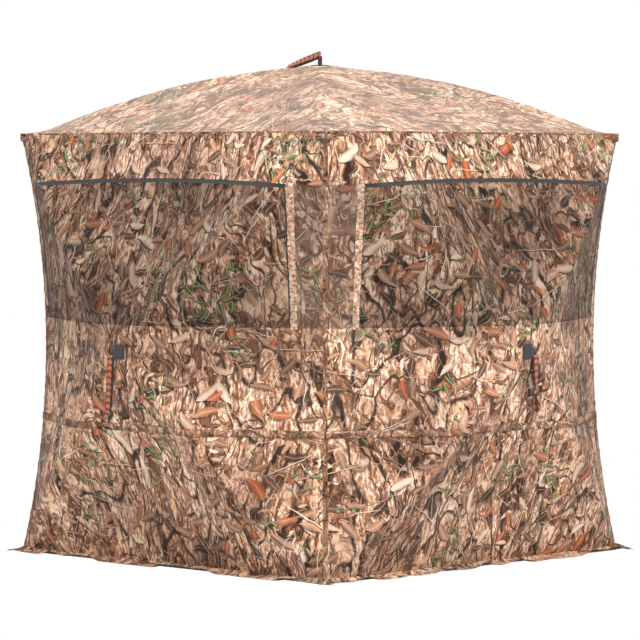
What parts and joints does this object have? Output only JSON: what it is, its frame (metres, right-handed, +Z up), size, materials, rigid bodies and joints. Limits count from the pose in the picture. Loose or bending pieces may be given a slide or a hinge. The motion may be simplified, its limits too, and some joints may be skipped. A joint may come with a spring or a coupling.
{
  "type": "pop up ground blind",
  "caption": "Square pop-up ground blind with four pushed-out walls and a domed roof, each stretched by bowed rods from a central hub, with mesh windows, a zipped door and ground skirts.",
  "frame": {"origin": "centre of the square footprint, on the ground", "axes": "+Z up; the front wall faces -Y and the door is in the back wall, +Y"},
  "size_m": [1.9108, 1.9108, 1.7262],
  "materials": {
    "camo_cloth": "matte",
    "camo_mesh": "matte",
    "black_webbing": "matte",
    "fibreglass_rod": "satin",
    "black_plastic": "satin",
    "steel": "satin",
    "zip_metal": "satin"
  },
  "bodies": {
    "shell": {"back_wall": "camo_cloth", "belt_strips": "camo_cloth", "canopy": "camo_cloth", "corner_window_mesh": "camo_mesh", "door_zip_tape": "black_webbing", "eave_tape": "black_webbing", "eave_trim": "camo_cloth", "front_wall": "camo_cloth", "front_window_mesh": "camo_mesh", "ground_skirts": "camo_cloth", "left_wall": "camo_cloth", "left_window_mesh": "camo_mesh", "lower_corner_boots": "black_plastic", "right_wall": "camo_cloth", "right_window_mesh": "camo_mesh", "upper_corner_boots": "black_plastic"},
    "front_hub": {"front_hub": "black_plastic", "front_hub_pins_and_bolt": "steel", "front_hub_patch": "black_webbing"},
    "front_rod_lower_a": {"front_rod_lower_a": "fibreglass_rod"},
    "front_rod_lower_b": {"front_rod_lower_b": "fibreglass_rod"},
    "front_rod_upper_a": {"front_rod_upper_a": "fibreglass_rod"},
    "front_rod_upper_b": {"front_rod_upper_b": "fibreglass_rod"},
    "front_pull_strap": {"front_pull_strap": "black_webbing"},
    "right_hub": {"right_hub": "black_plastic", "right_hub_pins_and_bolt": "steel", "right_hub_patch": "black_webbing"},
    "right_rod_lower_a": {"right_rod_lower_a": "fibreglass_rod"},
    "right_rod_lower_b": {"right_rod_lower_b": "fibreglass_rod"},
    "right_rod_upper_a": {"right_rod_upper_a": "fibreglass_rod"},
    "right_rod_upper_b": {"right_rod_upper_b": "fibreglass_rod"},
    "right_pull_strap": {"right_pull_strap": "black_webbing"},
    "back_hub": {"back_hub": "black_plastic", "back_hub_pins_and_bolt": "steel", "back_hub_patch": "black_webbing"},
    "back_rod_lower_a": {"back_rod_lower_a": "fibreglass_rod"},
    "back_rod_lower_b": {"back_rod_lower_b": "fibreglass_rod"},
    "back_rod_upper_a": {"back_rod_upper_a": "fibreglass_rod"},
    "back_rod_upper_b": {"back_rod_upper_b": "fibreglass_rod"},
    "back_pull_strap": {"back_pull_strap": "black_webbing"},
    "left_hub": {"left_hub": "black_plastic", "left_hub_pins_and_bolt": "steel", "left_hub_patch": "black_webbing"},
    "left_rod_lower_a": {"left_rod_lower_a": "fibreglass_rod"},
    "left_rod_lower_b": {"left_rod_lower_b": "fibreglass_rod"},
    "left_rod_upper_a": {"left_rod_upper_a": "fibreglass_rod"},
    "left_rod_upper_b": {"left_rod_upper_b": "fibreglass_rod"},
    "left_pull_strap": {"left_pull_strap": "black_webbing"},
    "roof_hub": {"roof_hub": "black_plastic", "roof_hub_pins_and_bolt": "steel", "roof_hub_patch": "black_webbing"},
    "roof_rod_a": {"roof_rod_a": "fibreglass_rod"},
    "roof_rod_b": {"roof_rod_b": "fibreglass_rod"},
    "roof_rod_c": {"roof_rod_c": "fibreglass_rod"},
    "roof_rod_d": {"roof_rod_d": "fibreglass_rod"},
    "roof_pull_strap": {"roof_pull_strap": "black_webbing"},
    "door": {"door_flap": "camo_cloth"},
    "zip_slider": {"door_zip_slider": "zip_metal"}
  },
  "joints": [
    {"name": "front_hub_push", "type": "slide", "parent": "shell", "child": "front_hub", "axis": [0, 1, 0], "range_m": [0, 0.438], "deforming": ["front_wall"]},
    {"name": "front_rod_lower_a_swing", "type": "hinge", "parent": "shell", "child": "front_rod_lower_a", "pos_m": [-0.69, -0.712, 0.03], "axis": [-0.7107, 0, 0.7035], "range_deg": [0, 26.44]},
    {"name": "front_rod_lower_b_swing", "type": "hinge", "parent": "shell", "child": "front_rod_lower_b", "pos_m": [0.69, -0.712, 0.03], "axis": [-0.7107, 0, -0.7035], "range_deg": [0, 26.44]},
    {"name": "front_rod_upper_a_swing", "type": "hinge", "parent": "shell", "child": "front_rod_upper_a", "pos_m": [-0.69, -0.712, 1.405], "axis": [0.7009, 0, 0.7133], "range_deg": [0, 26.81]},
    {"name": "front_rod_upper_b_swing", "type": "hinge", "parent": "shell", "child": "front_rod_upper_b", "pos_m": [0.69, -0.712, 1.405], "axis": [0.7009, 0, -0.7133], "range_deg": [0, 26.81]},
    {"name": "front_pull_strap_swing", "type": "hinge", "parent": "front_hub", "child": "front_pull_strap", "pos_m": [-0.037, -0.9524, 0.7146], "axis": [-1, 0, 0], "range_deg": [0, 110]},
    {"name": "right_hub_push", "type": "slide", "parent": "shell", "child": "right_hub", "axis": [-1, 0, 0], "range_m": [0, 0.438], "deforming": ["right_wall"]},
    {"name": "right_rod_lower_a_swing", "type": "hinge", "parent": "shell", "child": "right_rod_lower_a", "pos_m": [0.712, -0.69, 0.03], "axis": [0, -0.7107, 0.7035], "range_deg": [0, 26.44]},
    {"name": "right_rod_lower_b_swing", "type": "hinge", "parent": "shell", "child": "right_rod_lower_b", "pos_m": [0.712, 0.69, 0.03], "axis": [0, -0.7107, -0.7035], "range_deg": [0, 26.44]},
    {"name": "right_rod_upper_a_swing", "type": "hinge", "parent": "shell", "child": "right_rod_upper_a", "pos_m": [0.712, -0.69, 1.405], "axis": [0, 0.7009, 0.7133], "range_deg": [0, 26.81]},
    {"name": "right_rod_upper_b_swing", "type": "hinge", "parent": "shell", "child": "right_rod_upper_b", "pos_m": [0.712, 0.69, 1.405], "axis": [0, 0.7009, -0.7133], "range_deg": [0, 26.81]},
    {"name": "right_pull_strap_swing", "type": "hinge", "parent": "right_hub", "child": "right_pull_strap", "pos_m": [0.9524, 0.037, 0.7146], "axis": [0, -1, 0], "range_deg": [0, 110]},
    {"name": "back_hub_push", "type": "slide", "parent": "shell", "child": "back_hub", "axis": [0, -1, 0], "range_m": [0, 0.438], "deforming": ["back_wall"]},
    {"name": "back_rod_lower_a_swing", "type": "hinge", "parent": "shell", "child": "back_rod_lower_a", "pos_m": [0.69, 0.712, 0.03], "axis": [0.7107, 0, 0.7035], "range_deg": [0, 26.44]},
    {"name": "back_rod_lower_b_swing", "type": "hinge", "parent": "shell", "child": "back_rod_lower_b", "pos_m": [-0.69, 0.712, 0.03], "axis": [0.7107, 0, -0.7035], "range_deg": [0, 26.44]},
    {"name": "back_rod_upper_a_swing", "type": "hinge", "parent": "shell", "child": "back_rod_upper_a", "pos_m": [0.69, 0.712, 1.405], "axis": [-0.7009, 0, 0.7133], "range_deg": [0, 26.81]},
    {"name": "back_rod_upper_b_swing", "type": "hinge", "parent": "shell", "child": "back_rod_upper_b", "pos_m": [-0.69, 0.712, 1.405], "axis": [-0.7009, 0, -0.7133], "range_deg": [0, 26.81]},
    {"name": "back_pull_strap_swing", "type": "hinge", "parent": "back_hub", "child": "back_pull_strap", "pos_m": [0.037, 0.9524, 0.7146], "axis": [1, 0, 0], "range_deg": [0, 110]},
    {"name": "left_hub_push", "type": "slide", "parent": "shell", "child": "left_hub", "axis": [1, 0, 0], "range_m": [0, 0.438], "deforming": ["left_wall"]},
    {"name": "left_rod_lower_a_swing", "type": "hinge", "parent": "shell", "child": "left_rod_lower_a", "pos_m": [-0.712, 0.69, 0.03], "axis": [0, 0.7107, 0.7035], "range_deg": [0, 26.44]},
    {"name": "left_rod_lower_b_swing", "type": "hinge", "parent": "shell", "child": "left_rod_lower_b", "pos_m": [-0.712, -0.69, 0.03], "axis": [0, 0.7107, -0.7035], "range_deg": [0, 26.44]},
    {"name": "left_rod_upper_a_swing", "type": "hinge", "parent": "shell", "child": "left_rod_upper_a", "pos_m": [-0.712, 0.69, 1.405], "axis": [0, -0.7009, 0.7133], "range_deg": [0, 26.81]},
    {"name": "left_rod_upper_b_swing", "type": "hinge", "parent": "shell", "child": "left_rod_upper_b", "pos_m": [-0.712, -0.69, 1.405], "axis": [0, -0.7009, -0.7133], "range_deg": [0, 26.81]},
    {"name": "left_pull_strap_swing", "type": "hinge", "parent": "left_hub", "child": "left_pull_strap", "pos_m": [-0.9524, -0.037, 0.7146], "axis": [0, 1, 0], "range_deg": [0, 110]},
    {"name": "roof_hub_push", "type": "slide", "parent": "shell", "child": "roof_hub", "axis": [0, 0, -1], "range_m": [0, 0.462], "deforming": ["canopy"]},
    {"name": "roof_rod_a_swing", "type": "hinge", "parent": "shell", "child": "roof_rod_a", "pos_m": [0.688, -0.688, 1.434], "axis": [-0.7071, -0.7071, 0], "range_deg": [0, 28.06]},
    {"name": "roof_rod_b_swing", "type": "hinge", "parent": "shell", "child": "roof_rod_b", "pos_m": [0.688, 0.688, 1.434], "axis": [0.7071, -0.7071, 0], "range_deg": [0, 28.06]},
    {"name": "roof_rod_c_swing", "type": "hinge", "parent": "shell", "child": "roof_rod_c", "pos_m": [-0.688, 0.688, 1.434], "axis": [0.7071, 0.7071, 0], "range_deg": [0, 28.06]},
    {"name": "roof_rod_d_swing", "type": "hinge", "parent": "shell", "child": "roof_rod_d", "pos_m": [-0.688, -0.688, 1.434], "axis": [-0.7071, 0.7071, 0], "range_deg": [0, 28.06]},
    {"name": "roof_pull_strap_lift", "type": "hinge", "parent": "roof_hub", "child": "roof_pull_strap", "pos_m": [0, 0, 1.7232], "axis": [0, 1, 0], "range_deg": [0, 150]},
    {"name": "door_swing", "type": "hinge", "parent": "shell", "child": "door", "pos_m": [-0.662, 0.748, 0.7], "axis": [0, 0, 1], "range_deg": [0, 125]},
    {"name": "door_zip_slide", "type": "slide", "parent": "shell", "child": "zip_slider", "axis": [0, -0.2621, 0.9651], "range_m": [0, 0.12]}
  ],
  "couplings": [
    {"joint": "front_rod_lower_a_swing", "follows": "front_hub_push", "rad_per_m": 1.053},
    {"joint": "front_rod_lower_b_swing", "follows": "front_hub_push", "rad_per_m": 1.053},
    {"joint": "front_rod_upper_a_swing", "follows": "front_hub_push", "rad_per_m": 1.0678},
    {"joint": "front_rod_upper_b_swing", "follows": "front_hub_push", "rad_per_m": 1.0678},
    {"joint": "right_rod_lower_a_swing", "follows": "right_hub_push", "rad_per_m": 1.053},
    {"joint": "right_rod_lower_b_swing", "follows": "right_hub_push", "rad_per_m": 1.053},
    {"joint": "right_rod_upper_a_swing", "follows": "right_hub_push", "rad_per_m": 1.0678},
    {"joint": "right_rod_upper_b_swing", "follows": "right_hub_push", "rad_per_m": 1.0678},
    {"joint": "back_rod_lower_a_swing", "follows": "back_hub_push", "rad_per_m": 1.053},
    {"joint": "back_rod_lower_b_swing", "follows": "back_hub_push", "rad_per_m": 1.053},
    {"joint": "back_rod_upper_a_swing", "follows": "back_hub_push", "rad_per_m": 1.0678},
    {"joint": "back_rod_upper_b_swing", "follows": "back_hub_push", "rad_per_m": 1.0678},
    {"joint": "left_rod_lower_a_swing", "follows": "left_hub_push", "rad_per_m": 1.053},
    {"joint": "left_rod_lower_b_swing", "follows": "left_hub_push", "rad_per_m": 1.053},
    {"joint": "left_rod_upper_a_swing", "follows": "left_hub_push", "rad_per_m": 1.0678},
    {"joint": "left_rod_upper_b_swing", "follows": "left_hub_push", "rad_per_m": 1.0678},
    {"joint": "roof_rod_a_swing", "follows": "roof_hub_push", "rad_per_m": 1.0594},
    {"joint": "roof_rod_b_swing", "follows": "roof_hub_push", "rad_per_m": 1.0594},
    {"joint": "roof_rod_c_swing", "follows": "roof_hub_push", "rad_per_m": 1.0594},
    {"joint": "roof_rod_d_swing", "follows": "roof_hub_push", "rad_per_m": 1.0594}
  ]
}
